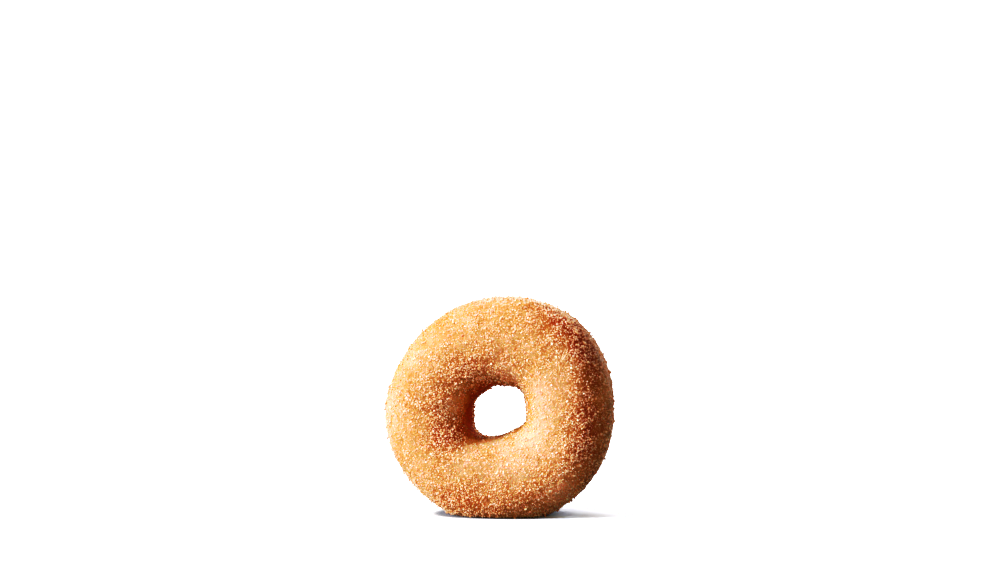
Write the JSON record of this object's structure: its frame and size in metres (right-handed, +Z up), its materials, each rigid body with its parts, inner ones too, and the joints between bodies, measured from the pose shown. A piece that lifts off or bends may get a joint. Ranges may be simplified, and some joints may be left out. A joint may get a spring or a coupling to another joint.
{
  "type": "sugared doughnut",
  "caption": "Fried dough ring with a hole through its middle, coated all over in granulated sugar and standing on a flat spot on its rim.",
  "frame": {"origin": "centre of the doughnut's box seen from above, at the height of the flat spot that it stands on", "axes": "+Z up, +Y along the hole from the front to the back, +X to the right seen from the front"},
  "size_m": [0.0902, 0.0348, 0.0846],
  "materials": {
    "fried_crust": "fried yeast dough, golden amber to red-brown, dry and slightly rough, dusted with fine sugar",
    "sugar": "granulated sugar, small clear to creamy white crystals with bright flat faces"
  },
  "bodies": {
    "root": {"doughnut": "fried_crust"}
  },
  "joints": []
}
